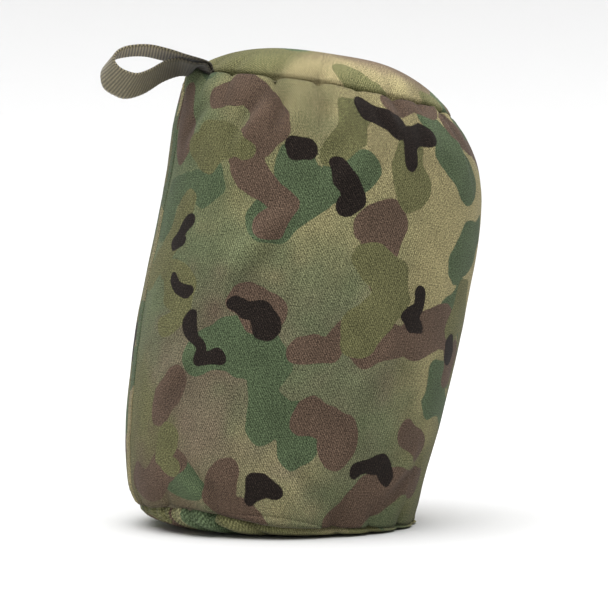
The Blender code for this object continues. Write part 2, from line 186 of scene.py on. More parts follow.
# Gathers: where the rim seams pull the cloth in, as (angle, depth, half width, length down the panel)
TOP_GATHERS = [
    (229, 0.9, 1.5, 9), (250, 1.6, 1.3, 9), (268, 1.5, 1.2, 9), (284, 0.5, 1.5, 8), (300, 1.2, 1.4, 9),
    (313, 0.5, 1.5, 8), (346, 1.1, 1.6, 11), (4, 1.0, 1.5, 10), (22, 1.5, 1.5, 12), (41, 0.9, 1.3, 9),
    (57, 1.3, 1.4, 10), (76, 1.0, 1.5, 12), (93, 1.5, 1.4, 9), (112, 0.8, 1.3, 10), (128, 1.3, 1.6, 11),
    (147, 1.0, 1.4, 9), (163, 1.4, 1.4, 10), (181, 0.9, 1.3, 9), (196, 0.8, 1.2, 8), (214, 0.7, 1.4, 8),
]
# Sharper folds of the base cloth alone, at the front left where it is drawn up into its seam
BASE_FOLDS = [
    (214, 0.9, 1.0, 9), (221, 1.2, 0.9, 10), (228, 0.9, 0.9, 9), (236, 1.3, 1.0, 10), (246, 2.0, 1.1, 12),
    (262, 0.9, 1.2, 9),
]
# The one deep fold at the top right: angle, depth, half width, length
TOP_PLEAT = (326.5, 3.0, 1.5, 28)
BASE_GATHERS = [
    (204, 0.7, 1.6, 8), (226, 0.9, 1.5, 9), (247, 0.5, 1.5, 8), (294, 0.9, 1.6, 10), (311, 0.8, 1.4, 8),
    (330, 1.2, 1.5, 10), (349, 0.8, 1.5, 9), (8, 1.1, 1.5, 9), (31, 0.8, 1.4, 8), (50, 1.2, 1.6, 10),
    (72, 0.9, 1.4, 8), (95, 1.2, 1.5, 9), (118, 0.8, 1.5, 8), (139, 1.2, 1.6, 10), (161, 0.8, 1.4, 8),
    (182, 1.0, 1.5, 9),
]


def bell(x, width):
    """1 at the middle, falling off smoothly: about a third at this width."""
    return np.exp(-((x / width) ** 2))


def turn(degrees, centre):
    """The signed way round from the centre, within half a turn, in degrees."""
    return (np.asarray(degrees, float) - centre + 180.0) % 360.0 - 180.0


def gathered(degrees, down, gathers, puff, reach):
    """How far the cloth stands out near a seam: puffed between the gathers and pulled in at each."""
    out = np.zeros(np.broadcast(degrees, down).shape)
    angles = np.sort(np.array([g[0] for g in gathers], float))
    spread = np.asarray(degrees, float) % 360.0
    i = np.searchsorted(angles, spread, side="right") - 1
    start = angles[i]
    stop = np.where(i + 1 < len(angles), angles[(i + 1) % len(angles)], angles[0] + 360.0)
    start = np.where(i < 0, angles[-1] - 360.0, start)
    stop = np.where(i < 0, angles[0], stop)
    share = (spread - start) / (stop - start)
    bay = np.clip(4 * share * (1 - share), 0, 1) ** 0.55 - 0.6
    out = out + puff * bay * bell(down, reach)
    for centre, depth, half_width, length in gathers:
        away = np.radians(turn(degrees, centre)) * RIM_ARC
        width = half_width * (1 + np.maximum(down, 0) / length)
        out = out - 0.7 * depth * bell(away, width) * bell(down, length)
        side = np.where(away > 0, 1.0, 0.4)
        broad = bell(away, 2.6 * width)
        out = out - 0.65 * depth * side * broad * bell(down, 2.6 * length)
    return out


def pleat(degrees, down):
    """The deep fold near the right of the top rim: its left side stands over its right side."""
    centre, depth, half_width, length = TOP_PLEAT
    away = np.radians(turn(degrees, centre + down * 0.28)) * RIM_ARC
    fade = np.exp(-((down / length) ** 4)) * np.clip(1 - down / (1.7 * length), 0, 1)
    lip = 0.8 * bell(away + 2.6, 2.4)
    fold = -depth * bell(away, half_width) * np.where(away > 0, 1.0, 0.55)
    hollow = -1.8 * bell(away - 4.0, 3.6)
    return (lip + fold + hollow) * fade


# Creases and soft folds on the front of the wall, as seen from the front: x, z to x, z, depth, half width
CREASES = [
    (-10, 200, -30, 170, 1.7, 4), (0, 200, -10, 175, 1.2, 3.5), (20, 195, 10, 175, 1.0, 3.5),
    (35, 195, 45, 175, 1.0, 3.5), (-35, 195, -50, 170, 1.2, 4), (55, 190, 60, 165, 1.2, 4),
    (-30, 100, 5, 140, 1.7, 4.5), (20, 140, 45, 170, 1.0, 5), (-60, 50, -35, 80, 0.9, 5),
    (30, 50, 55, 80, 0.9, 5.5), (-30, 5, -50, 30, 1.3, 4.5), (15, 5, 0, 30, 1.0, 4),
    (40, 5, 60, 30, 1.3, 4.5),
]


def creased(degrees, z):
    """How far the wall stands out at its creases: a hollow with the cloth raised beside it."""
    out = np.zeros(np.broadcast(degrees, z).shape)
    for x0, z0, x1, z1, depth, half_width in CREASES:
        start, end = front_to_bag(x0, z0), front_to_bag(x1, z1)
        run = np.array([math.radians(float(turn(end[0], start[0]))) * WALL_ARC, end[1] - start[1]])
        long = float(np.hypot(*run))
        right, up = np.radians(turn(degrees, start[0])) * WALL_ARC, z - start[1]
        share = np.clip((right * run[0] + up * run[1]) / long**2, 0, 1)
        across = (right * run[1] - up * run[0]) / long
        fade = np.sin(math.pi * share) ** 0.8
        ridge = 0.95 * bell(across + 1.7 * half_width, half_width)
        hollow = bell(across, half_width) - ridge
        out = out - depth * hollow * fade
    return out


# Sheets


def lengths(path):
    """How far along the path each of its points lies."""
    return np.concatenate([[0], np.cumsum(np.linalg.norm(np.diff(path, axis=0), axis=1))])


def unit(rows):
    """The same directions, each of length 1."""
    return rows / np.linalg.norm(rows, axis=1, keepdims=True)


def resample(path, spacing):
    """The path with its points this far apart, and how far along it each lies."""
    path = np.asarray(path, float)
    along = lengths(path)
    count = max(2, int(round(along[-1] / spacing)) + 1)
    at = np.linspace(0, along[-1], count)
    return np.stack([np.interp(at, along, path[:, k]) for k in range(path.shape[1])], axis=1), at


def outward(path):
    """The unit normals of an outline, to the right of its direction: out of a bag drawn upwards."""
    ahead = unit(np.gradient(path, axis=0))
    return np.stack([ahead[:, 1], -ahead[:, 0]], axis=1)


def catmull(p0, p1, p2, p3, t):
    """A smooth curve from p1 to p2, at share t of the way."""
    return 0.5 * (
        2 * p1 + (p2 - p0) * t + (2 * p0 - 5 * p1 + 4 * p2 - p3) * t**2
        + (3 * p1 - p0 - 3 * p2 + p3) * t**3
    )


def arc(centre, radius, start, end, steps=14):
    angle = np.radians(np.linspace(start, end, steps + 1))
    return np.stack([centre[0] + radius * np.cos(angle), centre[1] + radius * np.sin(angle)], axis=1)


def linked(name, data):
    """An object in the scene that holds this mesh, light or camera."""
    obj = bpy.data.objects.new(name, data)
    bpy.context.scene.collection.objects.link(obj)
    return obj


def mesh_object(name, corners, faces):
    """An object with a smooth mesh, from corners in metres."""
    mesh = bpy.data.meshes.new(name)
    mesh.from_pydata(corners, [], faces)
    mesh.shade_smooth()
    return linked(name, mesh)


def grid_object(name, points, closed=False):
    """An object whose mesh runs through a grid of points, rows by columns."""
    rows, columns = points.shape[:2]
    index = np.arange(rows * columns).reshape(rows, columns)
    right = np.roll(index, -1, axis=1) if closed else index[:, 1:]
    left = index if closed else index[:, :-1]
    quads = np.stack([left[:-1], right[:-1], right[1:], left[1:]], axis=-1).reshape(-1, 4)
    return mesh_object(name, (points.reshape(-1, 3) * MM).tolist(), quads.tolist())


def sheet_mesh(name, points, attributes, closed=False, thickness=FABRIC):
    """A sheet of cloth through a grid of points, with its attributes per point."""
    obj = grid_object(name, points, closed)
    for key, values in attributes.items():
        values = np.asarray(values, np.float32)
        size = values.shape[-1] if values.ndim > 2 else 1
        kinds = {1: ("FLOAT", "value"), 3: ("FLOAT_VECTOR", "vector"), 4: ("FLOAT_COLOR", "color")}
        kind, field = kinds[size]
        obj.data.attributes.new(key, kind, "POINT").data.foreach_set(field, values.ravel())
    if thickness:
        solid = obj.modifiers.new("thickness", "SOLIDIFY")
        solid.thickness = thickness * MM
        solid.offset = -1.0
        solid.use_even_offset = False
    return obj


def settled(name, start, cut, held, closed, pressure):
    """How far each point moves when cloth cut to one shape is sewn into another and filled.

    The cloth is simulated on the grid it is given. Its held points stay where they start.
    """
    scene = bpy.context.scene
    obj = grid_object(name, start * CLOTH_SCALE, closed)
    obj.shape_key_add(name="sewn")
    key = obj.shape_key_add(name="cut")
    key.data.foreach_set("co", (cut * CLOTH_SCALE * MM).ravel())
    group = obj.vertex_groups.new(name="held")
    group.add(np.flatnonzero(held.ravel()).tolist(), 1.0, "ADD")
    cloth = obj.modifiers.new("cloth", "CLOTH")
    settings = cloth.settings
    settings.rest_shape_key = key
    settings.vertex_group_mass = "held"
    settings.quality = 8
    settings.mass = 0.01
    settings.air_damping = 1.0
    settings.tension_stiffness = 40.0
    settings.compression_stiffness = 40.0
    settings.shear_stiffness = 8.0
    settings.bending_stiffness = CLOTH_BEND
    settings.use_pressure = True
    settings.uniform_pressure_force = pressure
    settings.effector_weights.gravity = 0.0
    cloth.point_cache.frame_start = 1
    cloth.point_cache.frame_end = CLOTH_FRAMES
    for frame in range(1, CLOTH_FRAMES + 1):
        scene.frame_set(frame)
    mesh = obj.evaluated_get(bpy.context.evaluated_depsgraph_get()).data
    ends = np.empty(len(mesh.vertices) * 3)
    mesh.vertices.foreach_get("co", ends)
    bpy.data.objects.remove(obj)
    scene.frame_set(1)
    moved = ends.reshape(start.shape) / (MM * CLOTH_SCALE) - start
    moved = softened(moved, 5, closed) * CLOTH_GAIN * ~held[..., None]
    far = np.linalg.norm(moved, axis=-1, keepdims=True)
    return moved * np.tanh(far / CLOTH_CAP) * CLOTH_CAP / np.maximum(far, 1e-6)


def softened(values, passes, closed):
    """A grid of vectors, smoothed a little this many times."""
    for _ in range(passes):
        rows = np.concatenate([values[:1], values, values[-1:]])
        values = (rows[:-2] + 2 * values + rows[2:]) / 4
        first, last = (values[:, -1:], values[:, :1]) if closed else (values[:, :1], values[:, -1:])
        columns = np.concatenate([first, values, last], axis=1)
        values = (columns[:, :-2] + 2 * values + columns[:, 2:]) / 4
    return values


def finer(values, rows, columns):
    """A coarse grid of vectors, stretched smoothly to this many rows and columns."""
    for axis, count in ((0, rows), (1, columns)):
        values = np.moveaxis(values, axis, 0)
        at = np.linspace(0, len(values) - 1, count)
        i = np.clip(at.astype(int), 0, len(values) - 2)
        t = (at - i)[:, None, None]
        before, after = np.maximum(i - 1, 0), np.minimum(i + 2, len(values) - 1)
        values = catmull(values[before], values[i], values[i + 1], values[after], t)
        values = np.moveaxis(values, 0, axis)
    return values


# The print: a generic camouflage of blots in the flat cloth, each a chain of discs (u, v, radius)

INKS = ("green", "brown", "olive", "black")
# How large each ink's blots are
BLOT = {"green": 10.0, "brown": 9.0, "olive": 8.0, "black": 4.5}
COLOURS = {
    "khaki": (147, 138, 100), "tan": (134, 124, 92), "moss": (92, 102, 74), "earth": (116, 101, 86),
    "bark": (97, 82, 69), "olive": (99, 98, 66), "green": (77, 90, 65), "brown": (90, 74, 62),
    "black": (34, 28, 25),
}

# The wall's soft ground, lighter at the top and darker towards the foot: u, v, reach, colour
WALL_GROUND = [
    (100, 180, 40, "khaki"), (200, 180, 40, "khaki"), (80, 120, 35, "moss"), (180, 110, 35, "khaki"),
    (100, 60, 35, "earth"), (190, 60, 35, "olive"), (120, 20, 35, "moss"),
]


def front_to_bag(x, z):
    """The angle and height of the wall's point that is seen from the front at this place."""
    y = -60.0
    low = z
    for _ in range(12):
        nearer = (y - EYE[1]) / -EYE[1]
        at_x, at_z = EYE[0] + (x - EYE[0]) * nearer, EYE[2] + (z - EYE[2]) * nearer
        radius, tilt = float(wall_radius(low)), float(tilt_at(low))
        across = np.clip((at_x - float(wall_lean(low))) / (radius * math.cos(tilt)), -0.995, 0.995)
        low = np.clip(at_z + radius * across * math.sin(tilt), BASE_RIM_Z, TOP_RIM_Z)
        y = -radius * math.sqrt(1 - across**2)
    return 270.0 + math.degrees(math.asin(across)), float(low)


def chain_distance(u, v, chain):
    """How far outside a chain of discs each point is, in millimetres."""
    best = np.full(u.shape, 1e3)
    for (u0, v0, r0), (u1, v1, r1) in zip(chain, chain[1:]):
        along = np.array([u1 - u0, v1 - v0])
        share = ((u - u0) * along[0] + (v - v0) * along[1]) / max(float(along @ along), 1e-6)
        share = np.clip(share, 0, 1)
        away = np.hypot(u - u0 - along[0] * share, v - v0 - along[1] * share)
        best = np.minimum(best, away - (r0 + (r1 - r0) * share))
    return best


def random_chains(rng, ink, count, width, height):
    """Chains of discs strewn over the cloth: blots that wander as they grow."""
    chains = []
    for _ in range(count):
        u, v = rng.uniform(0, width), rng.uniform(0, height)
        heading = rng.uniform(0, math.pi)
        chain = []
        for _ in range(rng.integers(2, 6)):
            chain.append((u, v, BLOT[ink] * rng.uniform(0.5, 1.25)))
            heading += rng.normal(0, 0.9)
            stride = BLOT[ink] * rng.uniform(1.0, 1.8)
            u, v = u + stride * math.cos(heading), v + stride * math.sin(heading)
        chains.append(chain)
    return chains


def random_shapes(rng, counts, width, height):
    return {ink: random_chains(rng, ink, counts[ink], width, height) for ink in INKS}


def blended(u, v, spots, spare, seed):
    """One soft colour over the cloth, from spots of colour and how far each reaches."""
    total = np.full(u.shape, 1e-6)
    colour = total[..., None] * np.array(linear(COLOURS[spare]))
    for at_u, at_v, reach, name in spots:
        weight = np.exp(-((u - at_u) ** 2 + (v - at_v) ** 2) / (2 * (reach * 0.75) ** 2))
        weight = weight * (1 + 0.7 * noise(u / 8 + at_u, v / 8 + at_v, seed))
        total = total + weight
        colour = colour + weight[..., None] * np.array(linear(COLOURS[name]))
    return np.concatenate([colour / total[..., None], np.ones(u.shape + (1,))], axis=-1)


def printed(u, v, shapes, ground, seed):
    """The print on cloth at u, v: how far each ink's shapes are, and the colours that are soft."""
    warp_u, warp_v = u, v
    for reach, lump in ((2.2, 12.0), (0.7, 5.0), (0.18, 2.0)):
        warp_u = warp_u + reach * noise(u / lump, v / lump, seed + int(lump))
        warp_v = warp_v + reach * noise(u / lump, v / lump, seed + 50 + int(lump))
    attributes = {}
    for ink in INKS:
        far = np.full(u.shape, 1e3)
        for chain in shapes.get(ink, []):
            far = np.minimum(far, chain_distance(warp_u, warp_v, chain))
        attributes[ink] = np.clip(far, -4, 4)
    attributes["ground"] = blended(u, v, ground, "tan", seed + 4)
    attributes["cloth"] = np.stack([u, v, np.zeros(u.shape)], axis=-1)
    return attributes


def linear(colour):
    """A colour of 0 to 255 as the renderer's linear values."""
    return tuple((c / 255 / 12.92) if c <= 10 else ((c / 255 + 0.055) / 1.055) ** 2.4 for c in colour)


def rgba(*colour):
    return (*linear(colour), 1.0)


def random_ground(rng, width, height, count):
    names = ("khaki", "tan", "olive", "moss", "bark", "moss", "khaki")
    spots = []
    for _ in range(count):
        u, v = rng.uniform(0, width), rng.uniform(0, height)
        spots.append((u, v, 20, names[rng.integers(0, 7)]))
    return spots


# The panels


def side_outline():
    """The wall from inside its base seam, round both rolled edges, to inside its top seam."""
    low = (float(wall_radius(BASE_RIM_Z + ROLL)) - ROLL, BASE_RIM_Z + ROLL)
    high = (float(wall_radius(TOP_RIM_Z - ROLL)) - ROLL, TOP_RIM_Z - ROLL)
    heights = np.linspace(low[1], high[1], 240)[1:-1]
    wall = np.stack([wall_radius(heights), heights], axis=1)
    path = np.concatenate(
        [
            [(low[0] - ROLL, low[1] + SKIRT)], arc(low, ROLL, 180, 360), wall, arc(high, ROLL, 0, 180),
            [(high[0] - ROLL, high[1] - SKIRT)],
        ]
    )
    return path


def dents(degrees, z):
    """Broad, soft unevenness of the stuffed wall, and the faint ripples of its cloth."""
    broad = 0.9 * round_noise(degrees, z / 52, 8, 11) + 0.5 * round_noise(degrees, z / 26, 15, 12)
    fine = 0.16 * round_noise(degrees, z / 15, 40, 13) + 0.07 * round_noise(degrees, z / 7, 90, 14)
    middle = np.clip((z - BASE_RIM_Z) / 16, 0, 1) * np.clip((TOP_RIM_Z - z) / 16, 0, 1)
    return broad * middle + fine


def top_seam_rise(degrees):
    """How the top seam rises and falls round the bag, for the wall and the top alike."""
    return 0.7 * round_noise(degrees, 3.0, 13, 16)


def base_seam_rise(degrees):
    """How the base seam rises and falls round the bag, for the wall and the base alike."""
    return 0.6 * round_noise(degrees, 5.0, 11, 17)


def drawn_up(degrees):
    """How far the base seam rises at the front left, where the base cloth bulges out under it."""
    return 5.0 * bell(turn(degrees, 236), 24)


def folds(degrees, z):
    """How far the wall stands out at its gathers, its pleat and its creases."""
    from_top, from_base = np.maximum(TOP_RIM_Z - z, 0), np.maximum(z - BASE_RIM_Z, 0)
    out = gathered(degrees, from_top, TOP_GATHERS, 0.7, 13)
    out = out + gathered(degrees, from_base, BASE_GATHERS, 0.4, 9)
    return out + pleat(degrees, from_top) + creased(degrees, z)


def side_shape(path, degrees):
    """The wall's surface: the outline with gathers, the pleat, the side seam's pull and soft dents."""
    normal = outward(path)
    z, ring = path[:, 1][:, None], degrees[None, :]
    from_top, from_base = np.maximum(TOP_RIM_Z - z, 0), np.maximum(z - BASE_RIM_Z, 0)
    out = dents(ring, z) + folds(ring, z) + 0.2 * drawn_up(ring) * bell(from_base, 10)
    out = out + 2.0 * bell(turn(ring, LOOP_ANGLE - 9), 7) * bell(from_top, 9)
    beside = np.radians(turn(ring, SEAM_ANGLE)) * WALL_ARC
    pull = bell(beside, 9)
    out = out + pull * (0.22 * noise(z / 5.5, ring * 0, 15) - 0.25)
    inside = np.clip(path[:, 0] - (wall_radius(path[:, 1]) - 2.2 * ROLL), 0, ROLL)[:, None] / ROLL
    out = out * inside
    lift = top_seam_rise(ring) * bell(from_top, 12)
    lift = lift + 2.4 * bell(turn(ring, LOOP_ANGLE - 7), 6) * bell(from_top, 9)
    lift = lift + base_seam_rise(ring) * bell(from_base, 10)
    lift = lift + drawn_up(ring) * bell(from_base, 16)
    radius = path[:, 0][:, None] + out * normal[:, 0][:, None]
    height = z + out * normal[:, 1][:, None] + lift
    return place(radius, height, ring)


WALL_COUNTS = {"green": 34, "brown": 30, "olive": 16, "black": 26}
TOP_COUNTS = {"green": 14, "brown": 8, "olive": 6, "black": 6}
BASE_COUNTS = {"green": 10, "brown": 12, "olive": 8, "black": 6}
CLOTH_ROUND, CLOTH_TALL, DISC = 452, 200, 170


def settled_wall(path, degrees):
    """The wall's gathers: its cloth is cut wider and taller than the bag, most of all at its rims."""
    coarse, ring = path[::2], degrees[::2]
    start = side_shape(coarse, ring)
    z = coarse[:, 1]
    wide = 1.004 + 0.10 * bell(TOP_RIM_Z - z, 16)
    wide = wide + 0.07 * bell(z - BASE_RIM_Z, 12)
    cut = place(coarse[:, 0][:, None] * wide[:, None], (z * 1.006)[:, None], ring[None, :])
    seam = np.abs(np.radians(turn(ring, SEAM_ANGLE)) * WALL_ARC) < 5.0
    rolled = (z < BASE_RIM_Z + 1.0) | (z > TOP_RIM_Z - 1.0) | (coarse[:, 0] < wall_radius(z) - 0.3)
    held = rolled[:, None] | seam[None, :]
    moved = settled("wall_cloth", start, cut, held, False, 1.0)
    return finer(moved, len(path), len(degrees))


def make_side(camo):
    path, along = resample(side_outline(), WALL_STEP)
    degrees = SEAM_ANGLE + np.linspace(0, 360, WALL_COLUMNS)
    height_to_cloth = smooth(list(zip(path[12:-12:6, 1], along[12:-12:6])))
    points = side_shape(path, degrees)
    points = points + settled_wall(path, degrees)
    u = np.radians(degrees - SEAM_ANGLE)[None, :] * WALL_ARC + along[:, None] * 0
    v = along[:, None] + u * 0
    rng = np.random.default_rng(7)
    spots = WALL_GROUND + random_ground(rng, CLOTH_ROUND, CLOTH_TALL, 40)
    shapes = random_shapes(rng, WALL_COUNTS, CLOTH_ROUND, CLOTH_TALL)
    attributes = printed(u, v, shapes, spots, 21)
    z = path[:, 1][:, None]
    # Painted shade: the wall is darkened along both rim seams and in the hollows of its folds, with painted
    # highlight on the folds' ridges
    seams = bell(np.maximum(z - BASE_RIM_Z, 0), 0.9)
    seams = seams + bell(np.maximum(TOP_RIM_Z - z, 0), 0.5)
    attributes["hollow"] = np.clip(-folds(degrees[None, :], z) / 1.5, -0.5, 1) * 0.6 + seams
    obj = sheet_mesh("bag_side", points, attributes)
    finish_piece(obj, camo, "camo_fabric", "side_panel")
    return path, lambda at_u, z: printed(at_u, height_to_cloth(z), shapes, spots, 21)


def top_outline():
    """The domed top from inside its seam, out over the seam and up to the middle."""
    edge = float(wall_radius(TOP_RIM_Z - ROLL)) - 2 * ROLL - 0.15
    start = [(edge - 0.2, TOP_RIM_Z - ROLL - SKIRT), (edge, TOP_RIM_Z - 1.2), (edge + 0.5, TOP_RIM_Z + 0.4)]
    start.append((TOP_BULGE - 0.15, TOP_RIM_Z + 2.2))
    share = np.cos(np.radians(np.linspace(9, 90, 60)))
    rise = DOME_RISE * (1 - share**DOME_POWER) ** DOME_ROUND
    cap = np.stack([TOP_BULGE * share, TOP_RIM_Z + rise], axis=1)
    return np.concatenate([start, cap])


def base_outline():
    """The base from the middle of its resting face, out and up, to inside its seam."""
    edge = float(wall_radius(BASE_RIM_Z + ROLL)) - 2 * ROLL - 0.15
    share = np.linspace(0, 1, 40) ** 0.6
    up = 1 - (1 - share**BULGE_POWER) ** (1 / BULGE_POWER)
    foot = (REST_RADIUS, 0.0)
    rim = (edge + ROLL * 1.1, BASE_RIM_Z - 0.7)
    bulge = np.stack([foot[0] + (rim[0] - foot[0]) * share, foot[1] + (rim[1] - foot[1]) * up], axis=1)
    end = [(edge + 1.0, BASE_RIM_Z + 0.6), (edge, BASE_RIM_Z + 1.6), (edge - 0.2, BASE_RIM_Z + ROLL + SKIRT)]
    return np.concatenate([[(0.05, 0.0)], bulge, end])


def disc_print(inward, degrees, seed, inks):
    """The print on a round panel, laid out in the flat cloth from its middle."""
    angle = np.radians(degrees)[None, :]
    u, v = inward[:, None] * np.cos(angle) + DISC / 2, inward[:, None] * np.sin(angle) + DISC / 2
    rng = np.random.default_rng(seed)
    shapes = random_shapes(rng, inks, DISC, DISC)
    return printed(u, v, shapes, random_ground(rng, DISC, DISC, 20), seed)


def make_top(camo):
    path, along = resample(top_outline(), DISC_STEP)
    degrees = SEAM_ANGLE + np.arange(0, 360, 360 / DISC_COLUMNS)
    normal = outward(path)
    ring, z = degrees[None, :], path[:, 1][:, None]
    from_rim = np.maximum(z - TOP_RIM_Z, 0)
    span = np.maximum(along - SKIRT, 0)[:, None]
    out = gathered(ring, span, TOP_GATHERS, 0.9, 14) * 0.9 * np.clip(span / 2, 0, 1)
    away = path[:, 0][:, None]
    soft = 0.8 * noise(away * np.cos(np.radians(ring)) / 26, away * np.sin(np.radians(ring)) / 26, 31)
    out = out + soft * np.clip(from_rim / 8, 0, 1)
    lift = top_seam_rise(ring) * bell(from_rim, 12)
    radius = path[:, 0][:, None] + out * normal[:, 0][:, None]
    points = place(radius, z + out * normal[:, 1][:, None] + lift, ring)
    attributes = disc_print(along[-1] - along, degrees, 45, TOP_COUNTS)
    # Painted light: the top is made lighter, least towards the front left
    attributes["painted_light"] = 1.0 - 0.8 * bell(turn(ring, 222), 32) + 0 * z
    # Painted shade along the rim seam and in the gathers, and painted highlight where the cloth puffs out
    attributes["hollow"] = bell(span, 2.2) - 0.35 * np.clip(out, -2, 1)
    obj = sheet_mesh("bag_top", points, attributes, closed=True)
    finish_piece(obj, camo, "camo_fabric", "top_panel")


def make_base(camo):
    path, along = resample(base_outline(), DISC_STEP)
    degrees = SEAM_ANGLE + np.arange(0, 360, 360 / DISC_COLUMNS)
    normal = outward(path)
    ring, z = degrees[None, :], path[:, 1][:, None]
    down = np.maximum(BASE_RIM_Z - z, 0)
    free = np.clip(z / 2.0, 0, 1)
    out = gathered(ring, down, BASE_GATHERS, 0.8, 8) * 0.8 + gathered(ring, down, BASE_FOLDS, 0.3, 8)
    out = out * free
    share = np.clip(z / BASE_RIM_Z, 0, 1)
    lift = (base_seam_rise(ring) + drawn_up(ring)) * share**2
    swell = drawn_up(ring) * (2.2 * share * (1 - share) + 0.22 * share)
    radius = path[:, 0][:, None] + out * normal[:, 0][:, None] + swell
    points = place(radius, np.maximum(z + out * normal[:, 1][:, None] + lift, 0.0), ring)
    attributes = disc_print(along, degrees, 52, BASE_COUNTS)
    # Painted light: the whole base is made lighter
    attributes["painted_light"] = 1.0 + 0 * z + 0 * ring
    # Painted shade along the seam and in the gathers, and painted highlight where the cloth puffs out
    attributes["hollow"] = 1.2 * bell(down, 1.6) - 0.45 * np.clip(out, -2, 1)
    obj = sheet_mesh("bag_base", points, attributes, closed=True)
    finish_piece(obj, camo, "camo_fabric", "base_panel")


def finish_piece(obj, material, slot, *nodes, body="bag", padded=True):
    """Gives a piece its material and its body, and hides the nodes it stands for."""
    obj.data.materials.append(material)
    if body:
        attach(obj, body)
    if nodes:
        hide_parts(*nodes)


# Materials


class Nodes:
    """A short way to write a material's nodes."""

    def __init__(self, name):
        self.material = bpy.data.materials.new(name)
        self.material.use_nodes = True
        self.tree = self.material.node_tree
        self.shader = self.tree.nodes["Principled BSDF"]

    def add(self, kind, inputs=(), output=0, **settings):
        node = self.tree.nodes.new("ShaderNode" + kind)
        for key, value in settings.items():
            setattr(node, key, value)
        for socket, value in dict(inputs).items():
            self.put(node.inputs[socket], value)
        return node.outputs[output]

    def put(self, socket, value):
        if isinstance(value, bpy.types.NodeSocket):
            self.tree.links.new(value, socket)
        else:
            socket.default_value = value

    def math(self, operation, a, b=0.0, clamp=False):
        return self.add("Math", {0: a, 1: b}, operation=operation, use_clamp=clamp)

    def attribute(self, name, output="Fac"):
        return self.add("Attribute", output=output, attribute_name=name)

    def noise(self, vector, scale, detail=2.0, output="Fac"):
        return self.add("TexNoise", {"Vector": vector, "Scale": scale, "Detail": detail}, output)

    def mix(self, factor, a, b, blend="MIX"):
        return self.add("Mix", {0: factor, 6: a, 7: b}, 2, data_type="RGBA", blend_type=blend)

    def shaded(self, colour, tone):
        """The colour, made lighter or darker by a tone."""
        return self.mix(1.0, colour, self.add("CombineColor", {0: tone, 1: tone, 2: tone}), "MULTIPLY")

    def spread(self, value, low, high, to_low=0.0, to_high=1.0):
        return self.add("MapRange", {0: value, 1: low, 2: high, 3: to_low, 4: to_high})


def stretched(n, vector, x, y, turned=0.0):
    return n.add("Mapping", {"Vector": vector, "Scale": (x, y, 1.0), "Rotation": (0, 0, turned)})


def camo_material():
    """Printed twill: crisp inks on a soft ground, with the weave in both colour and relief, and painted
    light and shade.
    """
    n = Nodes("camo_twill")
    cloth = n.attribute("cloth", "Vector")
    ragged = n.math("SUBTRACT", n.noise(cloth, 1.9, 2.0), 0.5)
    bands = {"Distortion": 1.5, "Detail": 2.0, "Detail Scale": 3.0}
    diagonal = stretched(n, cloth, 1.0, 1.0, math.radians(-35))
    twill = n.add("TexWave", {"Vector": diagonal, "Scale": 0.36, **bands}, 1)
    cross = n.add("TexWave", {"Vector": cloth, "Scale": 0.42, **bands}, 1, bands_direction="Y")
    weave = n.math("MULTIPLY", twill, n.spread(cross, 0.0, 1.0, 0.45, 1.0))
    slub = n.noise(stretched(n, cloth, 1.3, 0.12), 1.0, 3.0)
    fleck = n.noise(cloth, 1.5, 2.0)
    wear = n.noise(cloth, 0.06, 3.0)
    colour = n.attribute("ground", "Color")
    for ink in INKS:
        far = n.math("ADD", n.attribute(ink), n.math("MULTIPLY", ragged, 0.8))
        inside = n.spread(far, 0.18, -0.18)
        colour = n.mix(inside, colour, rgba(*COLOURS[ink]))
    light = n.spread(fleck, 0.30, 0.70, 0.34, 1.66)
    light = n.math("MULTIPLY", light, n.spread(slub, 0.3, 0.7, 0.86, 1.14))
    light = n.math("MULTIPLY", light, n.spread(weave, 0.0, 0.9, 0.66, 1.38))
    light = n.math("MULTIPLY", light, n.spread(wear, 0.3, 0.7, 0.88, 1.12))
    # Painted light: the top and the base are made up to 1.45 times lighter
    light = n.math("MULTIPLY", light, n.spread(n.attribute("painted_light"), 0.0, 1.0, 1.0, 1.45))
    # Painted shade and highlight: down to 0.62 in hollows, at seams and under the port's fold, up to 1.16 on
    # ridges
    light = n.math("MULTIPLY", light, n.spread(n.attribute("hollow"), -0.5, 1.0, 1.16, 0.62))
    colour = n.shaded(colour, light)
    bare = n.math("MULTIPLY", n.spread(fleck, 0.50, 0.70), n.spread(weave, 0.2, 0.9, 0.0, 0.13))
    colour = n.mix(bare, colour, rgba(128, 116, 96))
    n.put(n.shader.inputs["Base Color"], colour)
    height = n.math("ADD", n.math("MULTIPLY", weave, 0.7), n.math("MULTIPLY", fleck, 0.6))
    height = n.math("ADD", height, n.math("MULTIPLY", slub, 0.5))
    bump = n.add("Bump", {"Strength": 0.6, "Distance": 0.00022, "Height": height})
    n.put(n.shader.inputs["Normal"], bump)
    n.put(n.shader.inputs["Roughness"], n.spread(fleck, 0.3, 0.7, 0.86, 0.96))
    n.shader.inputs["Sheen Weight"].default_value = 0.05
    n.shader.inputs["Sheen Roughness"].default_value = 0.5
    n.shader.inputs["Specular IOR Level"].default_value = 0.08
    return n.material


